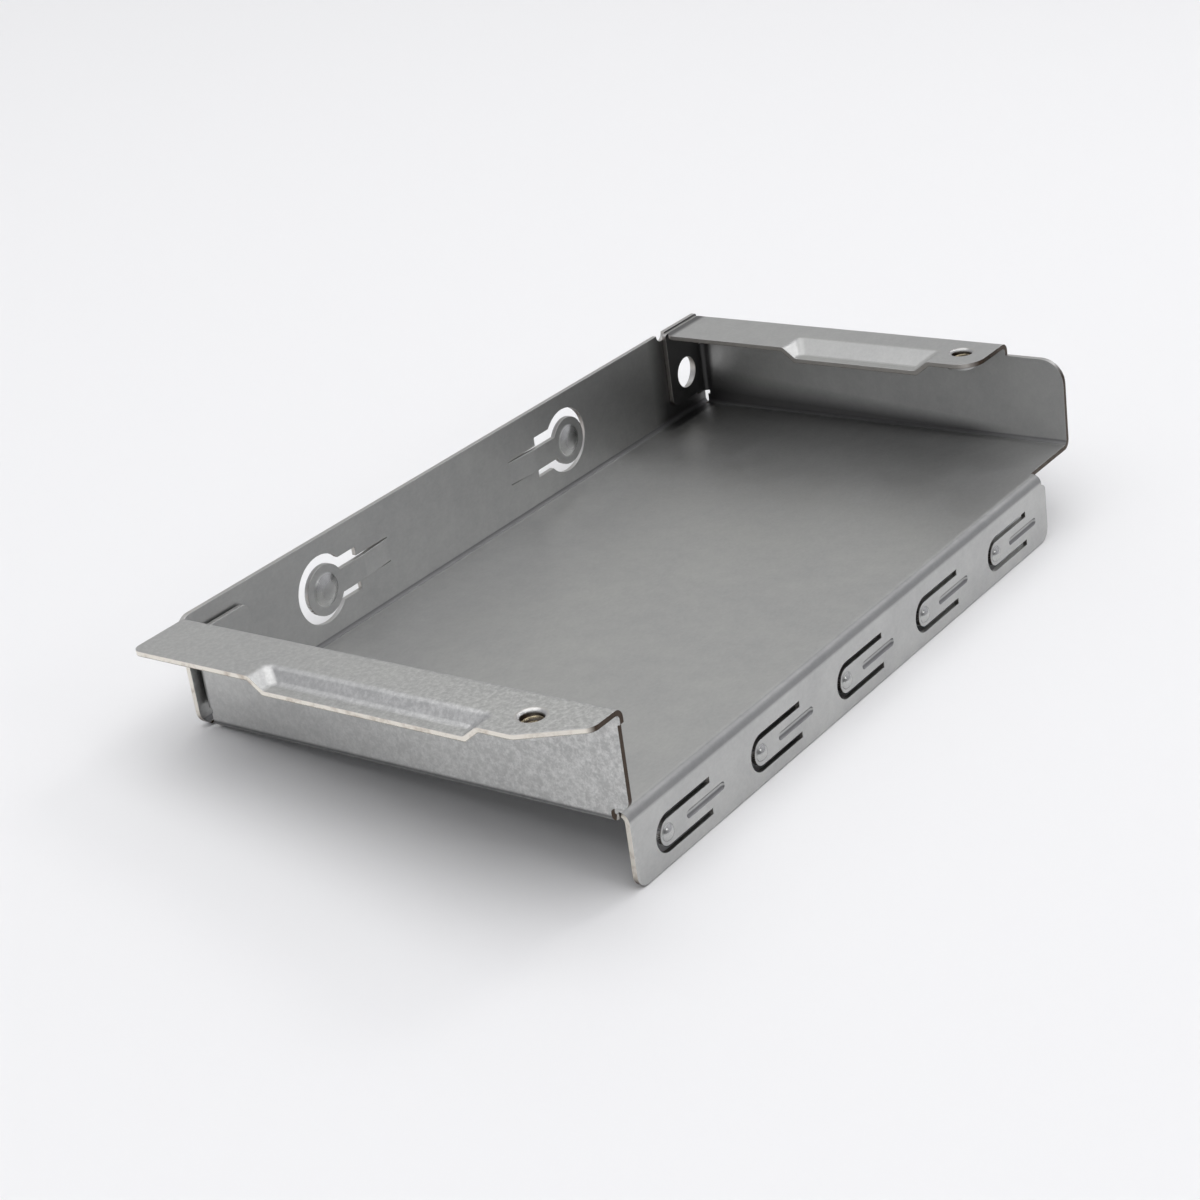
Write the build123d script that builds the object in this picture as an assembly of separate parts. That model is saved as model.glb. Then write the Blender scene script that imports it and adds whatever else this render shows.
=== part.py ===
from build123d import *
import os

# Sheet
SHEET_T = 0.6
BEND_IN = 0.6
BEND_OUT = BEND_IN + SHEET_T
BEND_MID = BEND_IN + SHEET_T / 2
MID_T = SHEET_T / 2

# Tray: outer length over the end walls, outer width over the side walls, height to the ledges
LENGTH = 105.0
WIDTH = 59.0
HEIGHT = 13.8

# Overrun of every cutting shape past the metal
OVER = 4.0

# Drop flange with the spring fingers
FLANGE_DROP = 8.6
FLANGE_START = 1.5
FLANGE_END = 95.0
FLANGE_BEND_END = 94.0
FLANGE_SHOULDER_Z = -0.9
FLANGE_SHOULDER_R = 0.9
FLANGE_CORNER_R = 1.8

# Spring fingers: round tips in a row, all pointing the same way
FINGER_COUNT = 5
FINGER_FIRST = 5.45
FINGER_PITCH = 18.35
FINGER_LENGTH = 10.4
FINGER_AXIS_Z = -4.8
FINGER_SLOT_R = 2.3
FINGER_SLOT_W = 0.75
DIMPLE_R = 1.05
DIMPLE_RISE = 0.55
DIMPLE_FROM_TIP = 2.1
GROOVE_START = 5.7
GROOVE_END = 13.0
GROOVE_HALF = 0.5
GROOVE_DEPTH = 0.32

# Side tabs of the end walls, folded behind the tall side wall
NECK_LOW = 2.5
NECK_HIGH = 9.6
NECK_RELIEF = 0.6
TAB_LOW = 2.8
TAB_R = 1.2

# End wall with the ledge turned outward
OUT_EAR = 1.85
OUT_EAR_LOW = 1.95
OUT_EAR_R = 1.2
OUT_NIB = 0.4
OUT_NIB_LOW = 11.9
OUT_NIB_R = 0.2
OUT_RELIEF_Y = 0.95
OUT_RELIEF_R = 0.6
OUT_LEDGE = 8.5
OUT_LEDGE_CUT_X = 4.2
OUT_LEDGE_CUT_Y = 5.0
OUT_LEDGE_R = 1.6
OUT_LEDGE_BACK_R = 1.2
OUT_BACK_GAP = 0.9
OUT_FOOT_GAP = 2.0
OUT_TAB_GAP = 0.35
OUT_TAB_START = 1.2
OUT_TAB_END = 9.3
OUT_TAB_TOP = 11.7

# End wall with the ledge turned inward
IN_EAR_Y = 1.4
IN_EAR_TOP = 12.1
IN_EAR_R = 3.2
IN_LEDGE = 9.4
IN_LEDGE_START = 9.5
IN_LEDGE_FRONT_R = 3.2
IN_LEDGE_BACK_R = 1.5
IN_BACK_GAP = 1.5
IN_TAB_GAP = 0.05
IN_TAB_INSET = 0.2
IN_TAB_REACH = 8.8
IN_TAB_TOP = 13.6
IN_TAB_TOP_R = 0.4

# Stepped-down middle of each ledge
STEP_DEPTH = 1.45
STEP_R = 0.8
OUT_STEP_FRONT = 9.5
OUT_STEP_BACK = 40.5
OUT_STEP_TOP = 3.0
OUT_STEP_FLOOR = 1.7
IN_STEP_FRONT = 16.2
IN_STEP_BACK = 38.2
IN_STEP_TOP = 4.3
IN_STEP_FLOOR = 1.4
STEP_END_RUN = 1.9
STEP_BEND_R = 0.9
STEP_SEARCH = 0.6
SAME_PLACE = 0.001

# Tapped holes in the ledges, with the drawn collar below
TAP_R = 1.25
TAP_RIM_R = 0.55
COLLAR_R = 2.0
COLLAR_LENGTH = 1.3
OUT_TAP_X = 4.3
OUT_TAP_Y = 5.65
IN_TAP_X = 4.9
IN_TAP_Y = 13.5

# Tall side wall
BACK_REACH = 0.6
BACK_TOP_OUT_R = 1.7
BACK_LOW_OUT_R = 2.0
BACK_TOP_IN_R = 0.4
BACK_LOW_IN_R = 1.3
BACK_NOTCH_X = 9.1
BACK_NOTCH_R = 1.0
BACK_HOLE_R = 2.7
BACK_HOLE_Z = 6.7
BACK_HOLE_OUT_X = 5.4
BACK_HOLE_IN_X = 4.8
TAB_HOLE_OUT_R = 1.25
TAB_HOLE_IN_R = 2.2

# Spring tabs cut in the tall side wall
KEY_Z = 7.3
KEY_OUT_X = 22.4
KEY_IN_X = 71.9
KEY_HEAD_R = 3.2
KEY_GAP = 1.15
KEY_NECK_HALF = 1.5
KEY_WIDE_HALF = 2.8
KEY_WIDE_END = 6.5
KEY_SHEAR_W = 0.15
KEY_ROOT = 12.3
KEY_RAMP = 5.0
KEY_SET = 0.5
KEY_DOME_R = 2.2
KEY_DOME_RISE = 0.65


# Helpers: outlines with a radius at each corner, and prisms along the three axes
def rounded(corners):
    points = [(u, v) for u, v, r in corners]
    radii = [r for u, v, r in corners]
    return make_face(FilletPolyline(*points, radius=radii, close=True))


def block(u0, v0, u1, v1):
    return Pos((u0 + u1) / 2, (v0 + v1) / 2) * Rectangle(u1 - u0, v1 - v0)


def along_x(face, x0, x1):
    return extrude(Plane.YZ.offset(x0) * face, amount=x1 - x0)


def along_y(face, y0, y1):
    return extrude(Plane.XZ.offset(-y1) * face, amount=y1 - y0)


def along_z(face, z0, z1):
    return extrude(Plane.XY.offset(z0) * face, amount=z1 - z0)


def bent_strip(middle):
    return trace(FilletPolyline(*middle, radius=BEND_MID), line_width=SHEET_T)


def cap_radius(half, rise):
    return (half * half + rise * rise) / (2 * rise)


# Floor of the tray, with its straight edge past the end of the drop flange
def floor_plate():
    outline = rounded([
        (BEND_OUT, BEND_OUT, 0),
        (FLANGE_BEND_END, BEND_OUT, 0),
        (FLANGE_BEND_END, IN_EAR_Y, 0),
        (LENGTH - BEND_OUT, IN_EAR_Y, 0),
        (LENGTH - BEND_OUT, WIDTH - BEND_OUT, 0),
        (BEND_OUT, WIDTH - BEND_OUT, 0),
    ])
    return along_z(outline, 0, SHEET_T)


# Stepped-down pocket of a ledge, centred on the ledge's free edge
def step_form(front, back, top_run, floor_run, grow, drop):
    long_top = back - front + 2 * grow
    long_floor = long_top - 2 * STEP_END_RUN
    top_z = HEIGHT - drop
    top = RectangleRounded(2 * (top_run + grow), long_top, STEP_R)
    low = RectangleRounded(2 * (floor_run + grow), long_floor, STEP_R)
    low_plane = Plane.XY.offset(top_z - STEP_DEPTH)
    body = loft([Plane.XY.offset(top_z) * top, low_plane * low], ruled=True)
    return Pos(0, (front + back) / 2, 0) * body


def stepped(sheet, edge_x, front, back, top_run, floor_run):
    slope = STEP_DEPTH / STEP_END_RUN
    grow = SHEET_T * slope / 2
    pocket = Pos(edge_x, 0, 0) * step_form(front, back, top_run, floor_run, 0, 0)
    shell = step_form(front, back, top_run, floor_run, grow, SHEET_T)
    shell = Pos(edge_x, 0, 0) * shell
    reach = top_run + OVER
    keep = Box(reach, back - front + OVER, STEP_DEPTH + OVER)
    keep = Pos(edge_x + reach / 2, (front + back) / 2, HEIGHT - STEP_DEPTH) * keep
    sheet = sheet + (shell & keep) - pocket
    for level in (HEIGHT, HEIGHT - STEP_DEPTH):
        bends = [e for e in sheet.edges() if on_step(e, level, edge_x, front, back, top_run)]
        sheet = fillet(bends, STEP_BEND_R)
    return sheet


# An edge of a pocket's outline: level, inside the pocket's reach, and not on the ledge's free edge
def on_step(edge, level, edge_x, front, back, top_run):
    box = edge.bounding_box()
    if abs(box.min.Z - level) > SAME_PLACE or abs(box.max.Z - level) > SAME_PLACE:
        return False
    if box.min.Y < front - STEP_SEARCH or box.max.Y > back + STEP_SEARCH:
        return False
    if box.max.X > edge_x + top_run + STEP_SEARCH:
        return False
    return box.max.X > edge_x + SAME_PLACE


# Tapped hole: drawn collar under the ledge and a rounded rim above
def tapped(sheet, x, y):
    foot = HEIGHT - SHEET_T
    collar = Pos(x, y, foot - COLLAR_LENGTH / 2) * Cylinder(COLLAR_R, COLLAR_LENGTH)
    bore_length = SHEET_T + COLLAR_LENGTH
    bore = Pos(x, y, HEIGHT - bore_length / 2) * Cylinder(TAP_R, bore_length)
    rim_profile = rounded([
        (0, HEIGHT - TAP_RIM_R, 0),
        (TAP_R, HEIGHT - TAP_RIM_R, 0),
        (TAP_R, HEIGHT, 0),
        (TAP_R + TAP_RIM_R, HEIGHT, 0),
        (TAP_R + TAP_RIM_R, HEIGHT + TAP_RIM_R, 0),
        (0, HEIGHT + TAP_RIM_R, 0),
    ])
    rim_round = Pos(TAP_R + TAP_RIM_R, HEIGHT - TAP_RIM_R) * Circle(TAP_RIM_R)
    rim_square = Pos(TAP_R + TAP_RIM_R / 2, HEIGHT - TAP_RIM_R / 2) * Rectangle(TAP_RIM_R, TAP_RIM_R)
    rim_profile = rim_profile + (rim_square - rim_round)
    rim = Pos(x, y, 0) * revolve(Plane.XZ * rim_profile, Axis.Z)
    return sheet + collar - bore - rim


# End wall whose ledge turns outward
def out_end():
    top = HEIGHT - MID_T
    section = bent_strip([(-OUT_LEDGE, top), (MID_T, top), (MID_T, MID_T), (BEND_OUT + OVER, MID_T)])
    sheet = along_y(section, -OUT_EAR, WIDTH - OUT_BACK_GAP)
    fold_y = WIDTH - SHEET_T - OUT_TAB_GAP - BEND_OUT
    back_y = WIDTH - OUT_BACK_GAP
    wall = rounded([
        (-OUT_EAR, HEIGHT + OVER, 0),
        (-OUT_EAR, OUT_NIB_LOW, OUT_NIB_R),
        (OUT_NIB - OUT_EAR, OUT_NIB_LOW, OUT_NIB_R),
        (OUT_NIB - OUT_EAR, OUT_EAR_LOW, OUT_EAR_R),
        (OUT_RELIEF_Y, OUT_EAR_LOW, OUT_RELIEF_R),
        (OUT_RELIEF_Y, -OVER, 0),
        (WIDTH - OUT_FOOT_GAP, -OVER, 0),
        (WIDTH - OUT_FOOT_GAP, NECK_LOW - NECK_RELIEF, 0),
        (fold_y, NECK_LOW - NECK_RELIEF, 0),
        (fold_y, NECK_HIGH + NECK_RELIEF, 0),
        (back_y, NECK_HIGH + NECK_RELIEF, 0),
        (back_y, HEIGHT + OVER, 0),
    ])
    ledge = rounded([
        (BEND_OUT, -OUT_EAR, 0),
        (-OUT_LEDGE_CUT_X, -OUT_EAR, OUT_LEDGE_R),
        (-OUT_LEDGE, OUT_LEDGE_CUT_Y, OUT_LEDGE_R),
        (-OUT_LEDGE, back_y, OUT_LEDGE_BACK_R),
        (BEND_OUT, back_y, 0),
    ])
    sheet = sheet & along_x(wall, -OUT_LEDGE, BEND_OUT) & along_z(ledge, 0, HEIGHT)
    sheet = stepped(sheet, -OUT_LEDGE, OUT_STEP_FRONT, OUT_STEP_BACK, OUT_STEP_TOP, OUT_STEP_FLOOR)
    sheet = tapped(sheet, -OUT_TAP_X, OUT_TAP_Y)
    return sheet + out_tab()


def out_tab():
    middle_y = WIDTH - SHEET_T - OUT_TAB_GAP - MID_T
    start_y = middle_y - BEND_MID - OVER
    neck = bent_strip([(MID_T, start_y), (MID_T, middle_y), (BEND_OUT + BEND_OUT, middle_y)])
    blade = rounded([
        (OUT_TAB_END, TAB_LOW, TAB_R),
        (OUT_TAB_START, TAB_LOW, 0),
        (OUT_TAB_START, OUT_TAB_TOP, 0),
        (OUT_TAB_END, OUT_TAB_TOP, TAB_R),
    ])
    blade = blade - block(-OVER, -OVER, BEND_OUT, NECK_HIGH + NECK_RELIEF)
    blade = blade - Pos(BACK_HOLE_OUT_X, BACK_HOLE_Z) * Circle(TAB_HOLE_OUT_R)
    tab = along_z(neck, NECK_LOW, NECK_HIGH)
    return tab + along_y(blade, middle_y - MID_T, middle_y + MID_T)


# End wall whose ledge turns inward over the tray
def in_end():
    top = HEIGHT - MID_T
    edge_x = LENGTH - IN_LEDGE
    wall_x = LENGTH - MID_T
    foot_x = LENGTH - BEND_OUT - OVER
    section = bent_strip([(foot_x, MID_T), (wall_x, MID_T), (wall_x, top), (edge_x, top)])
    back_y = WIDTH - IN_BACK_GAP
    sheet = along_y(section, IN_EAR_Y, back_y)
    fold_y = WIDTH - SHEET_T - IN_TAB_GAP - BEND_OUT
    wall = rounded([
        (IN_EAR_Y, -OVER, 0),
        (IN_EAR_Y, IN_EAR_TOP, IN_EAR_R),
        (IN_LEDGE_START, IN_EAR_TOP, 0),
        (IN_LEDGE_START, HEIGHT + OVER, 0),
        (back_y, HEIGHT + OVER, 0),
        (back_y, NECK_HIGH + NECK_RELIEF, 0),
        (fold_y, NECK_HIGH + NECK_RELIEF, 0),
        (fold_y, NECK_LOW - NECK_RELIEF, 0),
        (back_y, NECK_LOW - NECK_RELIEF, 0),
        (back_y, -OVER, 0),
    ])
    ledge = rounded([
        (edge_x, IN_LEDGE_START, IN_LEDGE_FRONT_R),
        (LENGTH - BEND_OUT, IN_LEDGE_START, 0),
        (LENGTH - BEND_OUT, -OVER, 0),
        (LENGTH + OVER, -OVER, 0),
        (LENGTH + OVER, back_y, 0),
        (edge_x, back_y, IN_LEDGE_BACK_R),
    ])
    sheet = sheet & along_x(wall, edge_x, LENGTH) & along_z(ledge, 0, HEIGHT)
    sheet = stepped(sheet, edge_x, IN_STEP_FRONT, IN_STEP_BACK, IN_STEP_TOP, IN_STEP_FLOOR)
    sheet = tapped(sheet, LENGTH - IN_TAP_X, IN_TAP_Y)
    return sheet + in_tab()


def in_tab():
    middle_y = WIDTH - SHEET_T - IN_TAB_GAP - MID_T
    start_y = middle_y - BEND_MID - OVER
    wall_x = LENGTH - MID_T
    neck = bent_strip([(wall_x, start_y), (wall_x, middle_y), (LENGTH - BEND_OUT - BEND_OUT, middle_y)])
    blade = rounded([
        (LENGTH - IN_TAB_REACH, TAB_LOW, TAB_R),
        (LENGTH - IN_TAB_INSET, TAB_LOW, 0),
        (LENGTH - IN_TAB_INSET, IN_TAB_TOP, IN_TAB_TOP_R),
        (LENGTH - IN_TAB_REACH, IN_TAB_TOP, IN_TAB_TOP_R),
    ])
    blade = blade - block(LENGTH - BEND_OUT, -OVER, LENGTH + OVER, NECK_HIGH + NECK_RELIEF)
    blade = blade - Pos(LENGTH - BACK_HOLE_IN_X, BACK_HOLE_Z) * Circle(TAB_HOLE_IN_R)
    tab = along_z(neck, NECK_LOW, NECK_HIGH)
    return tab + along_y(blade, middle_y - MID_T, middle_y + MID_T)


# Tall side wall with its corner radii, edge notch and holes
def back_wall():
    wall_y = WIDTH - MID_T
    foot_y = WIDTH - BEND_OUT - OVER
    section = bent_strip([(foot_y, MID_T), (wall_y, MID_T), (wall_y, HEIGHT)])
    sheet = along_x(section, -BACK_REACH, LENGTH)
    outline = rounded([
        (-BACK_REACH, 0, BACK_LOW_OUT_R),
        (LENGTH, 0, BACK_LOW_IN_R),
        (LENGTH, HEIGHT, BACK_TOP_IN_R),
        (-BACK_REACH, HEIGHT, BACK_TOP_OUT_R),
    ])
    outline = outline - Pos(LENGTH - BACK_NOTCH_X, HEIGHT) * Circle(BACK_NOTCH_R)
    outline = outline - Pos(BACK_HOLE_OUT_X, BACK_HOLE_Z) * Circle(BACK_HOLE_R)
    outline = outline - Pos(LENGTH - BACK_HOLE_IN_X, BACK_HOLE_Z) * Circle(BACK_HOLE_R)
    sheet = sheet & along_y(outline, WIDTH - BEND_OUT, WIDTH)
    sheet = spring_tab(sheet, KEY_OUT_X, 1)
    return spring_tab(sheet, KEY_IN_X, -1)


# Spring tab: round head on a narrow neck, set inward from the wall
def spring_tab(sheet, head_x, toward):
    head = Pos(head_x, KEY_Z) * Circle(KEY_HEAD_R + KEY_GAP)
    wide = Pos(head_x + toward * KEY_WIDE_END / 2, KEY_Z) * Rectangle(KEY_WIDE_END, 2 * KEY_WIDE_HALF)
    shear_half = KEY_NECK_HALF + KEY_SHEAR_W
    shear = Pos(head_x + toward * KEY_ROOT / 2, KEY_Z) * Rectangle(KEY_ROOT, 2 * shear_half)
    opening = along_y(head + wide + shear, WIDTH - BEND_OUT - OVER, WIDTH + OVER)
    return sheet - opening + tab_metal(head_x, toward)


def tab_metal(head_x, toward):
    wall_y = WIDTH - MID_T
    set_y = wall_y - KEY_SET
    root_x = head_x + toward * KEY_ROOT
    middle = [
        (root_x + toward * BEND_OUT, wall_y),
        (root_x, wall_y),
        (root_x - toward * KEY_RAMP, set_y),
        (head_x, set_y),
    ]
    strip = trace(FilletPolyline(*middle, radius=BEND_MID), line_width=SHEET_T)
    neck = along_z(strip, KEY_Z - KEY_NECK_HALF, KEY_Z + KEY_NECK_HALF)
    disc = Pos(head_x, KEY_Z) * Circle(KEY_HEAD_R)
    disc = along_y(disc, set_y - MID_T, set_y + MID_T)
    ball_r = cap_radius(KEY_DOME_R, KEY_DOME_RISE)
    ball_y = set_y - MID_T - KEY_DOME_RISE + ball_r
    ball = Pos(head_x, ball_y, KEY_Z) * Sphere(ball_r)
    dome = ball & Pos(head_x, set_y - MID_T, KEY_Z) * Box(2 * ball_r, 2 * KEY_DOME_RISE, 2 * ball_r)
    hollow = Pos(head_x, ball_y + SHEET_T / 2, KEY_Z) * Sphere(ball_r)
    return neck + disc + dome - hollow


# Drop flange with its shoulder, slots, dimples and pressed grooves
def drop_flange():
    section = bent_strip([(BEND_OUT + OVER, MID_T), (MID_T, MID_T), (MID_T, -FLANGE_DROP)])
    sheet = along_x(section, FLANGE_START, FLANGE_END)
    outline = rounded([
        (FLANGE_START, OVER, 0),
        (FLANGE_START, -FLANGE_DROP, FLANGE_CORNER_R),
        (FLANGE_END, -FLANGE_DROP, FLANGE_CORNER_R),
        (FLANGE_END, FLANGE_SHOULDER_Z, FLANGE_SHOULDER_R),
        (FLANGE_BEND_END, FLANGE_SHOULDER_Z, 0),
        (FLANGE_BEND_END, OVER, 0),
    ])
    sheet = sheet & along_y(outline, 0, BEND_OUT)
    slots = finger_slot()
    ribs = groove_form(cap_radius(GROOVE_HALF, GROOVE_DEPTH) + SHEET_T)
    bumps = dimple_form(0)
    grooves = groove_form(cap_radius(GROOVE_HALF, GROOVE_DEPTH))
    hollows = dimple_form(SHEET_T)
    inside = Pos(LENGTH / 2, OVER / 2, -FLANGE_DROP / 2) * Box(LENGTH, OVER, FLANGE_DROP)
    for i in range(FINGER_COUNT):
        here = Pos(FINGER_FIRST + i * FINGER_PITCH, 0, FINGER_AXIS_Z)
        sheet = sheet + (here * ribs & inside) + here * bumps
        sheet = sheet - here * grooves - here * hollows - here * slots
    return sheet


def finger_slot():
    inner_r = FINGER_SLOT_R - FINGER_SLOT_W
    outer = Pos(FINGER_SLOT_R, 0) * Circle(FINGER_SLOT_R)
    outer += block(FINGER_SLOT_R, -FINGER_SLOT_R, FINGER_LENGTH, FINGER_SLOT_R)
    inner = Pos(FINGER_SLOT_R, 0) * Circle(inner_r)
    inner += block(FINGER_SLOT_R, -inner_r, FINGER_LENGTH + SHEET_T, inner_r)
    return along_y(outer - inner, -OVER, BEND_OUT)


def dimple_form(skin):
    radius = cap_radius(DIMPLE_R, DIMPLE_RISE)
    centre_y = radius - DIMPLE_RISE
    ball = Pos(DIMPLE_FROM_TIP, centre_y, 0) * Sphere(radius - skin)
    if skin:
        return ball
    front = Pos(DIMPLE_FROM_TIP, 0, 0) * Box(2 * radius, 2 * DIMPLE_RISE, 2 * radius)
    return ball & front


def groove_form(radius):
    centre_y = GROOVE_DEPTH - cap_radius(GROOVE_HALF, GROOVE_DEPTH)
    start = GROOVE_START + GROOVE_HALF
    end = GROOVE_END - GROOVE_HALF
    bar = along_x(Circle(radius), start, end)
    bar = bar + Pos(start, 0, 0) * Sphere(radius) + Pos(end, 0, 0) * Sphere(radius)
    return Pos(0, centre_y, 0) * bar


blank = floor_plate() + out_end() + in_end() + back_wall() + drop_flange()
blank = Pos(-LENGTH / 2, -WIDTH / 2, 0) * blank
export_step(blank, "parts/folded_blank.step")
print("solids", len(blank.solids()), "volume", round(blank.volume, 1))
print("box", blank.bounding_box())
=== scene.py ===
# %% [markdown]
# A folded steel blank that fills an empty drive bay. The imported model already
# holds the whole folded sheet as one rigid piece, at its real size in metres.
# So this lesson is about what a solid model can't show: a believable zinc
# coating, raw metal on the cut edges, screw threads, and studio light.

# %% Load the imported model
import math
import bmesh
import bpy
from mathutils import Matrix, Vector
from mathutils.bvhtree import BVHTree


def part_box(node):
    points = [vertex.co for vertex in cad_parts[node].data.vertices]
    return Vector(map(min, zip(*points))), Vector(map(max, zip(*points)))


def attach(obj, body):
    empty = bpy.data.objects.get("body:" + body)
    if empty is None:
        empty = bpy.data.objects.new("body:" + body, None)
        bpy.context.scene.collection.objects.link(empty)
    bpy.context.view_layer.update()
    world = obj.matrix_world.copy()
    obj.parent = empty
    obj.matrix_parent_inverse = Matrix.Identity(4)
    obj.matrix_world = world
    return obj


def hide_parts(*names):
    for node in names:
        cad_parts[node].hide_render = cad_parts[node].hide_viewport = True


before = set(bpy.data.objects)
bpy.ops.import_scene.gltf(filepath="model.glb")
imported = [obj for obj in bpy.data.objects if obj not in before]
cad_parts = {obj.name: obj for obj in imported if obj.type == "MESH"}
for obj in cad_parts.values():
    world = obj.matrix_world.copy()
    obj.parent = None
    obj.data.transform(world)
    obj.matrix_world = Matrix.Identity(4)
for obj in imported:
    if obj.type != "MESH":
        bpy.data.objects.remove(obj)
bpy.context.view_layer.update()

MM = 0.001
low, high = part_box("folded_blank")
print("sheet from", [round(v / MM, 2) for v in low])
print("sheet to", [round(v / MM, 2) for v in high])

# %% [markdown]
# The blank can't stand level: its drop flange hangs below the floor of the
# tray, so on a table it leans until the flange's lower edge and the bend of
# the tall side wall both touch. The table is drawn under it with that lean,
# worked out from the two places that touch, and the blank itself stays in its
# own frame.

# %% Table top under the two places that touch
SHEET = 0.6 * MM
BEND_OUTER = 1.2 * MM
FLANGE_FACE = -29.5 * MM
TABLE_HALF = 6.0
TABLE_GAP = 0.02 * MM

foot = Vector((0.0, FLANGE_FACE + SHEET, low.z))
heel = Vector((0.0, high.y - BEND_OUTER, BEND_OUTER))
span = heel - foot
lean = math.atan2(span.z, span.y) - math.asin(BEND_OUTER / span.length)
table_up = Vector((0.0, -math.sin(lean), math.cos(lean)))
print("the table leans by", round(math.degrees(lean), 2), "degrees")


def table_top(name, half, through, up):
    across = Vector((1.0, 0.0, 0.0))
    along = up.cross(across)
    signs = ((-1, -1), (1, -1), (1, 1), (-1, 1))
    corners = [through + (across * u + along * v) * half for u, v in signs]
    mesh = bpy.data.meshes.new(name)
    mesh.from_pydata([tuple(c) for c in corners], [], [(0, 1, 2, 3)])
    table = bpy.data.objects.new(name, mesh)
    bpy.context.collection.objects.link(table)
    return table


below = foot - table_up * TABLE_GAP
table = table_top("table_top", TABLE_HALF, below, table_up)
print("table faces", tuple(round(v, 3) for v in table.data.polygons[0].normal))

# %% [markdown]
# Materials are built from shader nodes. One small helper makes a node tree
# from readable steps, so each finish below reads like a recipe. "spread" turns
# one range of a value into another, and "within" is 1 inside a band of values
# and fades to 0 at its edges. A noise is named with its size, its detail and
# its roughness, and a bump with its strength and its depth.

# %% A small helper for shader recipes
RANGE_KEYS = ("From Min", "From Max", "To Min", "To Max")
BEVEL_SAMPLES = 6


class Recipe:
    def __init__(self, name):
        self.material = bpy.data.materials.new(name)
        self.material.use_nodes = True
        self.nodes = self.material.node_tree.nodes
        self.links = self.material.node_tree.links
        self.surface = self.nodes["Principled BSDF"]
        where = self.add("ShaderNodeTexCoord")
        self.place = where.outputs["Object"]
        self.facing = where.outputs["Normal"]

    def add(self, kind, **settings):
        node = self.nodes.new(kind)
        for name, value in settings.items():
            setattr(node, name, value)
        return node

    def feed(self, socket, value):
        if isinstance(value, bpy.types.NodeSocket):
            self.links.new(value, socket)
        else:
            socket.default_value = value

    def axes(self, vector):
        node = self.add("ShaderNodeSeparateXYZ")
        self.feed(node.inputs[0], vector)
        return node.outputs[0], node.outputs[1], node.outputs[2]

    def stretch(self, scale):
        node = self.add("ShaderNodeMapping")
        self.feed(node.inputs["Vector"], self.place)
        node.inputs["Scale"].default_value = scale
        return node.outputs["Vector"]

    def noise(self, size, detail, rough, place=None):
        node = self.add("ShaderNodeTexNoise")
        self.feed(node.inputs["Vector"], place or self.place)
        node.inputs["Scale"].default_value = 1.0 / size
        node.inputs["Detail"].default_value = detail
        node.inputs["Roughness"].default_value = rough
        return node.outputs["Fac"]

    def math(self, operation, a, b=0.0):
        node = self.add("ShaderNodeMath", operation=operation)
        self.feed(node.inputs[0], a)
        self.feed(node.inputs[1], b)
        return node.outputs[0]

    def times(self, first, *others):
        for other in others:
            first = self.math("MULTIPLY", first, other)
        return first

    def spread(self, value, span_in, span_out=(0.0, 1.0)):
        node = self.add("ShaderNodeMapRange")
        self.feed(node.inputs["Value"], value)
        for key, number in zip(RANGE_KEYS, (*span_in, *span_out)):
            node.inputs[key].default_value = number
        return node.outputs["Result"]

    def within(self, value, band):
        low_edge, low_full, high_full, high_edge = band
        rising = self.spread(value, (low_edge, low_full))
        falling = self.spread(value, (high_full, high_edge), (1.0, 0.0))
        return self.times(rising, falling)

    def blend(self, amount, first, second):
        node = self.add("ShaderNodeMix", data_type="RGBA")
        self.feed(node.inputs["Factor"], amount)
        self.feed(node.inputs["A"], first)
        self.feed(node.inputs["B"], second)
        return node.outputs["Result"]

    def soft_edge(self, radius):
        node = self.add("ShaderNodeBevel", samples=BEVEL_SAMPLES)
        node.inputs["Radius"].default_value = radius
        return node.outputs["Normal"]

    def bump(self, height, strength, distance, under=None):
        node = self.add("ShaderNodeBump")
        self.feed(node.inputs["Height"], height)
        node.inputs["Strength"].default_value = strength
        node.inputs["Distance"].default_value = distance
        if under is not None:
            self.feed(node.inputs["Normal"], under)
        return node.outputs["Normal"]


print("recipe helper ready")

# %% [markdown]
# The sheet is steel with a thin zinc coat. Close up, such a coat is a soft
# silver grey, cloudy over several millimetres where the crystals differ, with
# a fine grain and a faint direction from the rolls. The clouds change the
# colour and the gloss a little, and the grain is a very shallow bump. A bevel
# node softens the shading on the punched edges, as tumbling does. The near end
# wall and its ledge carry pale flecks, denser towards the flange, which is a
# painted lightening of that end. The tight bends and the pressed grooves get a
# painted shade of dark grey, and the bends are rougher too. The coat is
# smoother on the domes and dimples, which rub against their neighbours. In the
# photo the foot of the far end wall mirrors the dark side of the studio. Part
# of that shade is given to the coat, because a dark card beside the camera
# would spoil the views from other sides.

# %% Colours and sizes of the zinc coating
ZINC_DARK = (0.440, 0.442, 0.438, 1.0)
ZINC_LIGHT = (0.520, 0.523, 0.510, 1.0)
FLECK_LIGHT = (0.740, 0.740, 0.725, 1.0)
# dark grey painted as shade into the bends and the flanks of the grooves
CREASE_SHADE_GREY = (0.140, 0.140, 0.145, 1.0)
SHADE_GREY = (0.100, 0.098, 0.100, 1.0)
PATCHES = (9.0 * MM, 3.0, 0.55)
CLOUDS = (2.2 * MM, 5.0, 0.65)
GRAIN = (0.22 * MM, 2.0, 0.6)
GRAIN_STRETCH = (0.35, 1.0, 1.0)
EDGE_SOFTNESS = 0.12 * MM
PATCH_SHARE = 0.6
CLOUD_SHARE = 0.4
GRAIN_SHARE = 0.35
TONE_SPAN = (0.45, 0.90)
MOTTLE_SPAN = (0.3, 0.7)
ROUGHNESS = (0.47, 0.39)
CREASE_ROUGHER = 0.25
POLISHED_ROUGHNESS = 0.24
GRAIN_BUMP = (0.25, 0.01 * MM)
CLOUD_BUMP = (0.15, 0.03 * MM)
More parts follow.
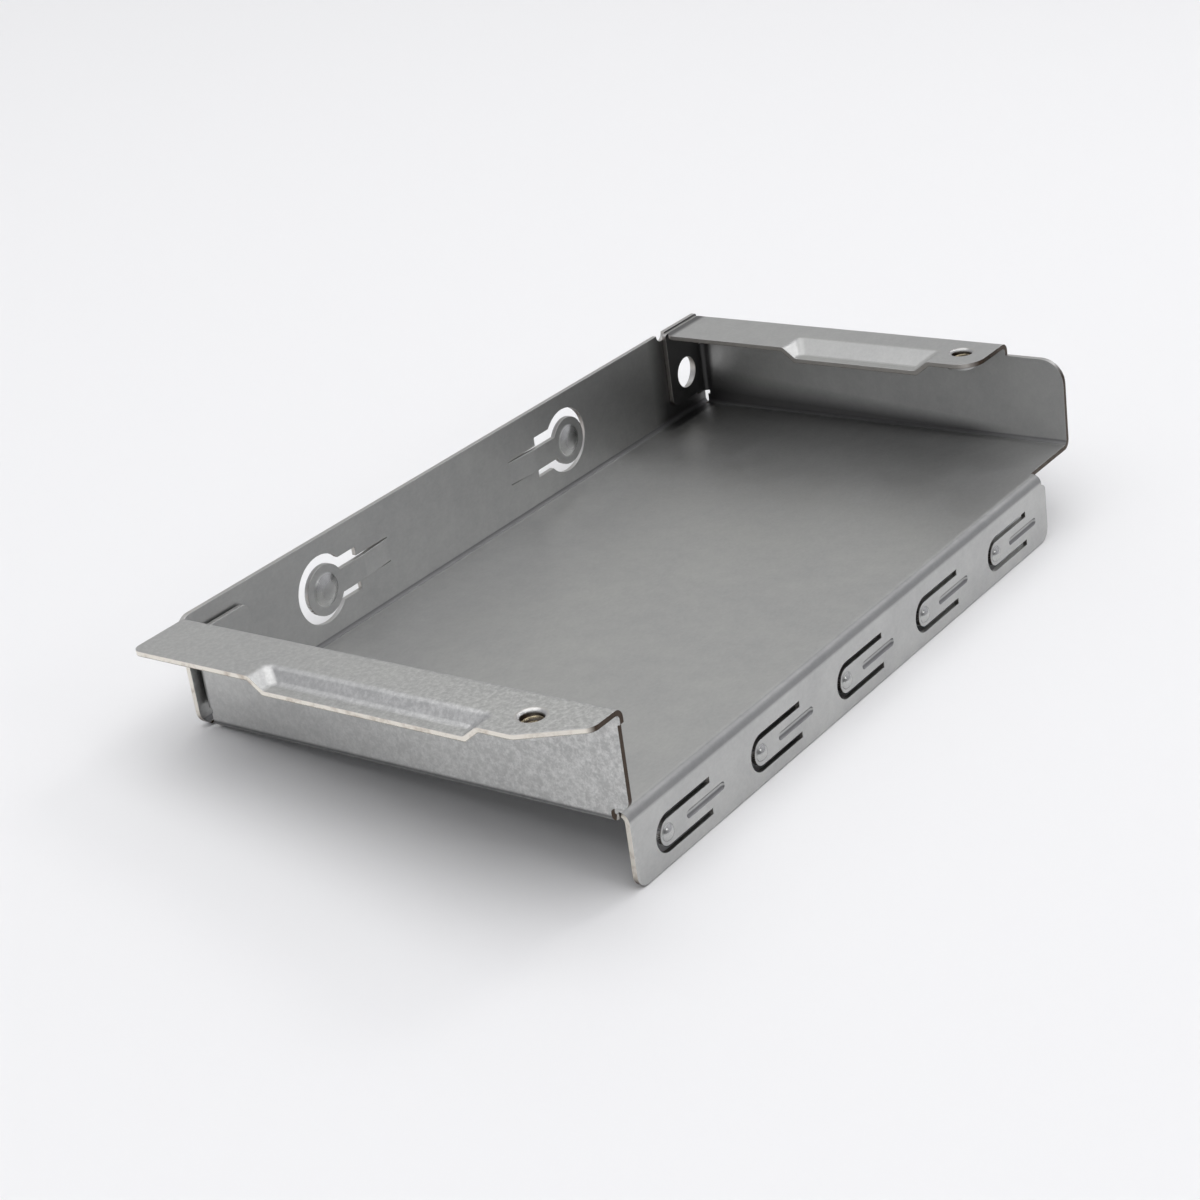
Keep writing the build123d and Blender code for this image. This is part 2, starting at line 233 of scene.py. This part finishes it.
print("zinc clouds of", round(CLOUDS[0] / MM, 2), "mm")

# %% Flecks on the near end wall, denser towards the flange as a painted lightening
FLECKS = (0.6 * MM, 5.0, 0.75)
FLECK_WALL_X = (-50.0 * MM, -52.0 * MM)
FLECK_SHEEN_Y = (15.0 * MM, -28.0 * MM)
FLECK_AND_SHEEN_SHARES = (0.30, 0.85)
FLECK_ELSEWHERE = 0.10
FLECK_SPAN = (0.42, 0.64)


def fleck_and_sheen_amount(zinc, x, y):
    flecks = zinc.noise(*FLECKS)
    on_wall = zinc.spread(x, FLECK_WALL_X)
    # the share grows towards the flange: a painted lightening of that end of the
    # wall
    sheen_share = zinc.spread(y, FLECK_SHEEN_Y, FLECK_AND_SHEEN_SHARES)
    share = zinc.math("MAXIMUM", zinc.times(on_wall, sheen_share), FLECK_ELSEWHERE)
    return zinc.times(share, zinc.spread(flecks, FLECK_SPAN))


print("fleck strength along the near wall:", FLECK_AND_SHEEN_SHARES)

# %% Painted shade in the bends and grooves, and a rougher coat in the bends, by height and by slope
BEND_SLOPE = (0.06, 0.25, 0.95, 0.995)
BEND_Z = (-1.2 * MM, -0.6 * MM, 1.6 * MM, 2.4 * MM)
INNER_BEND_Z = (0.58 * MM, 0.66 * MM)
BEND_SHADE_SHARES = (0.45, 0.75)
GROOVE_SLOPE = (0.10, 0.40, 0.95, 1.0)
GROOVE_Z = (-6.0 * MM, -5.6 * MM, -4.0 * MM, -3.6 * MM)
GROOVE_SHADE_SHARE = 0.8


# painted shade in the bends, the same mask also makes them rougher
def crease_shade_amount(zinc, z, tilt):
    slope = zinc.within(zinc.math("ABSOLUTE", tilt), BEND_SLOPE)
    share = zinc.spread(z, INNER_BEND_Z, BEND_SHADE_SHARES)
    return zinc.times(slope, zinc.within(z, BEND_Z), share)


def groove_shade_amount(zinc, z, tilt, upright, polished):
    slope = zinc.within(zinc.math("ABSOLUTE", tilt), GROOVE_SLOPE)
    share = zinc.math("SUBTRACT", GROOVE_SHADE_SHARE, polished)
    return zinc.times(slope, zinc.within(z, GROOVE_Z), upright, share)


print("bends are dull up to", round(BEND_Z[-1] / MM, 2), "mm high")

# %% Smooth coat on the domes and dimples
DOME_Z = 7.3 * MM
DOME_X = [-30.1 * MM, 19.4 * MM]
DOME_R = 2.3 * MM
DIMPLE_Z = -4.8 * MM
DIMPLE_X = [(-44.95 + 18.35 * i) * MM for i in range(5)]
DIMPLE_R = 1.1 * MM
POLISH_RIM = 0.85
UPRIGHT_Y = (27.5 * MM, 28.0 * MM)


def polish_amount(zinc, x, z):
    spots = [(place, DOME_Z, DOME_R) for place in DOME_X]
    spots += [(place, DIMPLE_Z, DIMPLE_R) for place in DIMPLE_X]
    total = 0.0
    for spot_x, spot_z, radius in spots:
        across = zinc.math("POWER", zinc.math("SUBTRACT", x, spot_x), 2.0)
        upward = zinc.math("POWER", zinc.math("SUBTRACT", z, spot_z), 2.0)
        gap = zinc.math("SQRT", zinc.math("ADD", across, upward))
        spot = zinc.spread(gap, (radius, radius * POLISH_RIM))
        total = zinc.math("MAXIMUM", spot, total)
    return total


print("smooth spots:", len(DOME_X) + len(DIMPLE_X))

# %% Shade at the foot of the far end wall and in its corner
FAR_WALL_X = (50.6 * MM, 51.2 * MM)
FAR_WALL_FACING = (-0.5, -0.8)
SHADE_Y = (-22.0 * MM, 28.0 * MM)
SHADE_HEIGHTS = (1.8 * MM, 5.5 * MM)
SHADE_FADE = (0.45, 1.15)
SHADE_START_Y = (-22.0 * MM, -14.0 * MM)
CORNER_X = (40.0 * MM, 43.0 * MM)
CORNER_Y = (26.5 * MM, 27.2 * MM, 29.0 * MM, 29.2 * MM)
SHADE_SHARE = 0.9


def shade_amount(zinc, x, y, z, facing_x):
    depth = zinc.math("DIVIDE", z, zinc.spread(y, SHADE_Y, SHADE_HEIGHTS))
    foot = zinc.spread(depth, SHADE_FADE, (1.0, 0.0))
    start = zinc.spread(y, SHADE_START_Y)
    inside = zinc.spread(facing_x, FAR_WALL_FACING)
    wall = zinc.times(foot, start, zinc.spread(x, FAR_WALL_X), inside)
    corner = zinc.times(zinc.spread(x, CORNER_X), zinc.within(y, CORNER_Y))
    return zinc.times(zinc.math("MAXIMUM", wall, corner), SHADE_SHARE)


print("shade heights along the far wall:", SHADE_HEIGHTS)


# %% Zinc coating
def zinc_coat():
    zinc = Recipe("zinc_coat")
    patches = zinc.noise(*PATCHES)
    clouds = zinc.noise(*CLOUDS)
    grain = zinc.noise(*GRAIN, zinc.stretch(GRAIN_STRETCH))
    broad = zinc.times(patches, PATCH_SHARE)
    mottle = zinc.math("ADD", broad, zinc.times(clouds, CLOUD_SHARE))
    mixed = zinc.math("ADD", mottle, zinc.times(grain, GRAIN_SHARE))
    x, y, z = zinc.axes(zinc.place)
    facing_x, _, tilt = zinc.axes(zinc.facing)
    upright = zinc.spread(zinc.math("ABSOLUTE", y), UPRIGHT_Y)
    polished = zinc.times(polish_amount(zinc, x, z), upright)
    # pale flecks, with a painted lightening towards the flange
    flecks = fleck_and_sheen_amount(zinc, x, y)
    crease_shade = crease_shade_amount(zinc, z, tilt)
    groove_shade = groove_shade_amount(zinc, z, tilt, upright, polished)
    shade = shade_amount(zinc, x, y, z, facing_x)

    colour = zinc.blend(zinc.spread(mixed, TONE_SPAN), ZINC_DARK, ZINC_LIGHT)
    colour = zinc.blend(flecks, colour, FLECK_LIGHT)
    # painted shade: the bends and the flanks of the grooves are darkened
    colour = zinc.blend(crease_shade, colour, CREASE_SHADE_GREY)
    colour = zinc.blend(groove_shade, colour, CREASE_SHADE_GREY)
    colour = zinc.blend(shade, colour, SHADE_GREY)
    zinc.feed(zinc.surface.inputs["Base Color"], colour)
    zinc.surface.inputs["Metallic"].default_value = 1.0

    rough = zinc.spread(mottle, MOTTLE_SPAN, ROUGHNESS)
    rough = zinc.math("ADD", rough, zinc.times(crease_shade, CREASE_ROUGHER))
    less = zinc.math("SUBTRACT", rough, POLISHED_ROUGHNESS)
    rough = zinc.math("SUBTRACT", rough, zinc.times(polished, less))
    zinc.feed(zinc.surface.inputs["Roughness"], rough)

    fine = zinc.bump(grain, *GRAIN_BUMP, zinc.soft_edge(EDGE_SOFTNESS))
    relief = zinc.bump(clouds, *CLOUD_BUMP, fine)
    zinc.feed(zinc.surface.inputs["Normal"], relief)
    return zinc.material


zinc_material = zinc_coat()
print("zinc nodes:", len(zinc_material.node_tree.nodes))

# %% [markdown]
# Where the press cut the sheet, the zinc stops and the steel shows: a thin
# line that is warmer than the coat, cream where it was burnished by the punch
# and brown where it tore. Inside the narrow slots a second, much darker mix
# of the same recipe is painted shade for their dark depth. Edges that face
# sideways and the lower corner of an edge get a painted shade of dark brown,
# and away from the near end wall the line is nearly as grey as the coat.

# %% Raw metal of the cut edges
CUT_CREAM = (0.840, 0.800, 0.725, 1.0)
CUT_BROWN = (0.520, 0.450, 0.380, 1.0)
CUT_GREY = (0.380, 0.365, 0.350, 1.0)
# near-black brown painted as shade on sideways edges and lower edge corners
CUT_SHADE_BROWN = (0.060, 0.043, 0.032, 1.0)
CUT_TOP = (0.500, 0.500, 0.490, 1.0)
# dark colours painted as shade inside the narrow slots and the bores
SLOT_SHADE_LIGHT = (0.150, 0.130, 0.110, 1.0)
SLOT_SHADE_DARK = (0.030, 0.026, 0.022, 1.0)
CUT_GREYED = 0.8
SLOT_GREYED = 0.0
EDGE_LINE = 0.18 * MM
STREAKS = (1.8 * MM, 3.0, 0.6)
STREAK_SPAN = (0.50, 0.76)
STREAK_GLOSS = (0.42, 0.68)
CUT_ROUGHNESS = (0.36, 0.48)
AWAY_X = (-50.0 * MM, -46.0 * MM)
UPPER_CORNER = (0.08, 0.50)
LOWER_CORNER_SHADE = (-0.08, -0.50)
CORNER_SHARES = (0.0, 0.8)
SIDEWAYS_SHADE = (0.60, 0.95)
RIDGES = (0.12 * MM, 2.0, 0.5)
RIDGE_BUMP = (0.3, 0.02 * MM)


def cut_metal(name, bright, dark, greyed):
    cut = Recipe(name)
    streaks = cut.noise(*STREAKS)
    x, _, _ = cut.axes(cut.place)
    _, facing_y, _ = cut.axes(cut.facing)
    _, _, lean = cut.axes(cut.soft_edge(EDGE_LINE))
    away = cut.spread(x, AWAY_X, (0.0, greyed))
    upper = cut.spread(lean, UPPER_CORNER, CORNER_SHARES)
    lower_shade = cut.spread(lean, LOWER_CORNER_SHADE, CORNER_SHARES)
    sideways_shade = cut.spread(cut.math("ABSOLUTE", facing_y), SIDEWAYS_SHADE)

    colour = cut.blend(cut.spread(streaks, STREAK_SPAN), bright, dark)
    colour = cut.blend(away, colour, CUT_GREY)
    colour = cut.blend(upper, colour, CUT_TOP)
    # painted shade on the lower corner and on edges that face sideways
    colour = cut.blend(lower_shade, colour, CUT_SHADE_BROWN)
    colour = cut.blend(sideways_shade, colour, CUT_SHADE_BROWN)
    cut.feed(cut.surface.inputs["Base Color"], colour)
    cut.surface.inputs["Metallic"].default_value = 1.0
    rough = cut.spread(streaks, STREAK_GLOSS, CUT_ROUGHNESS)
    cut.feed(cut.surface.inputs["Roughness"], rough)

    ridges = cut.noise(*RIDGES)
    relief = cut.bump(ridges, *RIDGE_BUMP, cut.soft_edge(EDGE_SOFTNESS))
    cut.feed(cut.surface.inputs["Normal"], relief)
    return cut.material


cut_material = cut_metal("cut_metal", CUT_CREAM, CUT_BROWN, CUT_GREYED)
# the slot mix is painted shade for the dark depth of slots and bores
slot_shade_material = cut_metal("slot_shaded_metal", SLOT_SHADE_LIGHT, SLOT_SHADE_DARK, SLOT_GREYED)
print("cut metal ready")

# %% [markdown]
# To give the cut edges their own metal, the faces have to be told apart. The
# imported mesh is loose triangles, so a copy of it is merged first. A face of
# the sheet proper has the other side of the sheet right behind it, while
# behind a cut face the metal goes on for longer. So one ray goes inward from
# each face, and its length decides. A second ray goes outward: where another
# cut face is less than a millimetre away, the face lies in a narrow slot. On
# the flange and the tall wall a cut face also has to stand square to the
# sheet, so the pressed grooves and domes keep their zinc. The bores of the two
# tapped holes count as slots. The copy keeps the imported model's own normals,
# and then stands for the solid.

# %% Merged copy with its cut faces told apart
MERGE_GRID = 0.0002 * MM
SKIN = 0.01 * MM
THROUGH = 1.45 * SHEET
NARROW = 1.0 * MM
UPRIGHT_FROM = 28.3 * MM
UPRIGHT_SPAN = 51.7 * MM
EDGEWISE = 0.2
NEAR_HOLE = Vector((-56.8, -23.85, 11.97)) * MM
FAR_HOLE = Vector((47.6, -16.0, 11.97)) * MM
HOLE_PLACES = [NEAR_HOLE, FAR_HOLE]
BORE = 1.32 * MM
CUT_INDEX = 1
SLOT_INDEX = 2


def merged_copy(node, name):
    source = node.data
    seen = {}
    points = []
    renamed = []
    for vertex in source.vertices:
        key = tuple(round(v / MERGE_GRID) for v in vertex.co)
        if key not in seen:
            seen[key] = len(points)
            points.append(tuple(vertex.co))
        renamed.append(seen[key])
    faces = []
    normals = []
    for face in source.polygons:
        corners = [renamed[v] for v in face.vertices]
        if len(set(corners)) == len(corners):
            faces.append(corners)
            for corner in face.loop_indices:
                normals.append(tuple(source.corner_normals[corner].vector))
    mesh = bpy.data.meshes.new(name)
    mesh.from_pydata(points, [], faces)
    mesh.shade_smooth()
    mesh.normals_split_custom_set(normals)
    piece = bpy.data.objects.new(name, mesh)
    bpy.context.collection.objects.link(piece)
    return piece


def is_cut(tree, face):
    outer = abs(face.center.y) > UPRIGHT_FROM
    upright_sheet = outer and abs(face.center.x) < UPRIGHT_SPAN
    if upright_sheet and abs(face.normal.y) >= EDGEWISE:
        return False
    start = face.center - face.normal * SKIN
    place, _, _, depth = tree.ray_cast(start, -face.normal)
    return place is None or depth > THROUGH


def in_slot(tree, face):
    start = face.center + face.normal * SKIN
    place, _, _, gap = tree.ray_cast(start, face.normal)
    return place is not None and gap < NARROW


def in_bore(face):
    return any((face.center.xy - hole.xy).length < BORE for hole in HOLE_PLACES)


def mark_cut_faces(mesh):
    points = [v.co for v in mesh.vertices]
    tree = BVHTree.FromPolygons(points, [tuple(f.vertices) for f in mesh.polygons])
    counts = [0, 0, 0]
    for face in mesh.polygons:
        if is_cut(tree, face):
            face.material_index = SLOT_INDEX if in_slot(tree, face) else CUT_INDEX
        # the bores of the tapped holes take the same painted shade
        if in_bore(face):
            face.material_index = SLOT_INDEX
        counts[face.material_index] += 1
    return counts


sheet = merged_copy(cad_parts["folded_blank"], "zinc_sheet")
sheet.data.materials.append(zinc_material)
sheet.data.materials.append(cut_material)
sheet.data.materials.append(slot_shade_material)
face_counts = mark_cut_faces(sheet.data)
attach(sheet, "root")
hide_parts("folded_blank")
print("faces of the coat, the cut edges and the slots:", face_counts)

# %% [markdown]
# Both ledges have a hole with a screw thread. A thread follows a rule, so
# Geometry Nodes make it: a spiral with a three-sided ridge, put at each of
# the two holes. On the real blank the ridges are worn bright and a little
# yellow by the tap's oil, which is the glint inside the holes.

# %% Thread metal
THREAD_GOLD = (0.500, 0.430, 0.300, 1.0)
THREAD_DARK = (0.200, 0.165, 0.120, 1.0)
STAINS = (0.5 * MM, 3.0, 0.6)
STAIN_SPAN = (0.4, 0.65)
THREAD_ROUGHNESS = (0.26, 0.42)


def thread_metal():
    thread = Recipe("thread_metal")
    stain = thread.noise(*STAINS)
    amount = thread.spread(stain, STAIN_SPAN)
    colour = thread.blend(amount, THREAD_GOLD, THREAD_DARK)
    thread.feed(thread.surface.inputs["Base Color"], colour)
    thread.surface.inputs["Metallic"].default_value = 1.0
    rough = thread.spread(stain, STAIN_SPAN, THREAD_ROUGHNESS)
    thread.feed(thread.surface.inputs["Roughness"], rough)
    return thread.material


thread_material = thread_metal()
print("thread metal ready")

# %% Thread ridges at the two tapped holes
THREAD_SIZES = {
    "Bore radius": 1.25 * MM,
    "Pitch": 0.5 * MM,
    "Turns": 2.4,
    "Ridge": 0.16 * MM,
}
SPIRAL_STEPS = 40
RIDGE_SIDES = 3


def thread_tree(material):
    tree = bpy.data.node_groups.new("thread_ridges", "GeometryNodeTree")
    face = tree.interface
    face.new_socket("Geometry", in_out="INPUT", socket_type="NodeSocketGeometry")
    for name in THREAD_SIZES:
        face.new_socket(name, in_out="INPUT", socket_type="NodeSocketFloat")
    face.new_socket("Geometry", in_out="OUTPUT", socket_type="NodeSocketGeometry")
    start = tree.nodes.new("NodeGroupInput")
    end = tree.nodes.new("NodeGroupOutput")
    link = tree.links.new
    rise = tree.nodes.new("ShaderNodeMath")
    rise.operation = "MULTIPLY"
    link(start.outputs["Pitch"], rise.inputs[0])
    link(start.outputs["Turns"], rise.inputs[1])
    spiral = tree.nodes.new("GeometryNodeCurveSpiral")
    spiral.inputs["Resolution"].default_value = SPIRAL_STEPS
    link(start.outputs["Turns"], spiral.inputs["Rotations"])
    link(start.outputs["Bore radius"], spiral.inputs["Start Radius"])
    link(start.outputs["Bore radius"], spiral.inputs["End Radius"])
    link(rise.outputs[0], spiral.inputs["Height"])
    ridge = tree.nodes.new("GeometryNodeCurvePrimitiveCircle")
    ridge.inputs["Resolution"].default_value = RIDGE_SIDES
    link(start.outputs["Ridge"], ridge.inputs["Radius"])
    sweep = tree.nodes.new("GeometryNodeCurveToMesh")
    sweep.inputs["Fill Caps"].default_value = True
    link(spiral.outputs["Curve"], sweep.inputs["Curve"])
    link(ridge.outputs["Curve"], sweep.inputs["Profile Curve"])
    place = tree.nodes.new("GeometryNodeInstanceOnPoints")
    link(start.outputs["Geometry"], place.inputs["Points"])
    link(sweep.outputs["Mesh"], place.inputs["Instance"])
    real = tree.nodes.new("GeometryNodeRealizeInstances")
    link(place.outputs["Instances"], real.inputs["Geometry"])
    paint = tree.nodes.new("GeometryNodeSetMaterial")
    paint.inputs["Material"].default_value = material
    link(real.outputs["Geometry"], paint.inputs["Geometry"])
    link(paint.outputs["Geometry"], end.inputs["Geometry"])
    return tree


def made_by(tree, seed_points, sizes, name):
    seed = bpy.data.meshes.new(name + "_seed")
    seed.from_pydata([tuple(p) for p in seed_points], [], [])
    maker = bpy.data.objects.new(name + "_maker", seed)
    bpy.context.collection.objects.link(maker)
    nodes = maker.modifiers.new("nodes", "NODES")
    nodes.node_group = tree
    for item in tree.interface.items_tree:
        if item.name in sizes:
            nodes[item.identifier] = sizes[item.name]
    view = bpy.context.evaluated_depsgraph_get()
    mesh = bpy.data.meshes.new_from_object(maker.evaluated_get(view))
    bpy.data.objects.remove(maker)
    while mesh.materials and mesh.materials[0] is None:
        mesh.materials.pop(index=0)
    piece = bpy.data.objects.new(name, mesh)
    bpy.context.collection.objects.link(piece)
    return piece


spirals = thread_tree(thread_material)
threads = made_by(spirals, HOLE_PLACES, THREAD_SIZES, "thread_ridges")
shape = bmesh.new()
shape.from_mesh(threads.data)
bmesh.ops.recalc_face_normals(shape, faces=shape.faces)
shape.to_mesh(threads.data)
shape.free()
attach(threads, "root")
print("thread faces", len(threads.data.polygons))

# %% Table finish
TABLE_WHITE = (0.88, 0.88, 0.88, 1.0)
TABLE_ROUGHNESS = 0.9


def table_paint():
    paint = Recipe("table_white")
    paint.surface.inputs["Base Color"].default_value = TABLE_WHITE
    paint.surface.inputs["Roughness"].default_value = TABLE_ROUGHNESS
    return paint.material


table.data.materials.append(table_paint())
print("table painted")

# %% [markdown]
# Product pictures of bare metal are lit by large soft sources, so that the
# metal mirrors something broad and pale. A pale surround does most of it, less
# than half as bright on the camera's side. A wide lamp above keeps the table
# pale, two broad weak ones at the back and the right lift what the floor and
# the walls mirror, and two small ones, high at the right and low in front,
# give the glints on domes, dimples and the ends of the pockets. Each row holds
# a lamp's name, its place from the middle of the blank in metres, its size,
# its power and its colour.

# %% Surround
SURROUND_COLOUR = (0.950, 0.950, 1.0, 1.0)
SURROUND_LEVELS = (0.58, 0.22)
DARK_SIDE = (-0.70, -0.64, 0.32)
DARK_FADE = (0.35, 0.95)


def pale_surround():
    world = bpy.data.worlds.new("soft_white")
    world.use_nodes = True
    sky = world.node_tree
    surround = sky.nodes["Background"]
    surround.inputs["Color"].default_value = SURROUND_COLOUR
    look = sky.nodes.new("ShaderNodeTexCoord")
    toward = sky.nodes.new("ShaderNodeVectorMath")
    toward.operation = "DOT_PRODUCT"
    toward.inputs[1].default_value = DARK_SIDE
    fade = sky.nodes.new("ShaderNodeMapRange")
    fade.interpolation_type = "SMOOTHSTEP"
    for key, number in zip(RANGE_KEYS, (*DARK_FADE, *SURROUND_LEVELS)):
        fade.inputs[key].default_value = number
    sky.links.new(look.outputs["Generated"], toward.inputs[0])
    sky.links.new(toward.outputs["Value"], fade.inputs["Value"])
    sky.links.new(fade.outputs["Result"], surround.inputs["Strength"])
    return world


bpy.context.scene.world = pale_surround()
print("surround strength from", *SURROUND_LEVELS)

# %% Lamps
WHITE = (1.0, 1.0, 1.0)
YELLOWISH = (1.0, 1.0, 0.50)
BLUISH = (0.94, 0.95, 1.0)
LAMPS = [
    ("lamp_above", (-0.14, -0.10, 0.79), 1.3, 5.4, WHITE),
    ("lamp_back", (0.46, 0.40, 0.46), 0.6, 0.07, YELLOWISH),
    ("lamp_right", (0.50, -0.40, 0.30), 0.5, 0.08, BLUISH),
    ("lamp_glint", (0.36, -0.12, 0.34), 0.13, 0.22, WHITE),
    ("lamp_front", (-0.02, -0.45, 0.20), 0.10, 0.08, WHITE),
]
middle = (low + high) / 2


def soft_lamp(name, place, size, power, colour):
    data = bpy.data.lights.new(name, "AREA")
    data.color = colour
    data.shape = "DISK"
    data.size = size
    data.energy = power
    lamp = bpy.data.objects.new(name, data)
    bpy.context.collection.objects.link(lamp)
    lamp.location = middle + Vector(place)
    towards = -Vector(place)
    lamp.rotation_euler = towards.to_track_quat("-Z", "Y").to_euler()


for row in LAMPS:
    soft_lamp(*row)
print("lamps placed:", len(LAMPS))

# %% [markdown]
# The camera stands where the photographer stood for the lower picture: the
# place and the direction come from fitting the straight edges of the blank.
# The lens is longer than the photograph's crop, so that the blank fills more
# of the picture from the same point.

# %% Camera
CAMERA_PLACE = Vector((-222.384, -168.208, 124.186)) * MM
CAMERA_FORWARD = Vector((0.70220, 0.58074, -0.41190))
CAMERA_UP = Vector((0.40828, 0.14550, 0.90119))
FOCAL_IN_WIDTHS = 1957.8 / 1200
CLOSER = 1.27
SHIFT = (0.022, 0.004)
CLIP_START = 0.01
SENSOR = 36.0


def photo_camera():
    data = bpy.data.cameras.new("camera")
    data.sensor_width = SENSOR
    data.lens = SENSOR * FOCAL_IN_WIDTHS * CLOSER
    data.shift_x, data.shift_y = SHIFT
    data.clip_start = CLIP_START
    camera = bpy.data.objects.new("camera", data)
    bpy.context.collection.objects.link(camera)
    back = -CAMERA_FORWARD.normalized()
    right = CAMERA_UP.cross(back).normalized()
    turn = Matrix((right, back.cross(right), back)).transposed()
    camera.matrix_world = Matrix.Translation(CAMERA_PLACE) @ turn.to_4x4()
    return camera


bpy.context.scene.camera = photo_camera()
bpy.context.scene.view_settings.view_transform = "Standard"
print("lens", round(bpy.context.scene.camera.data.lens, 1), "mm")
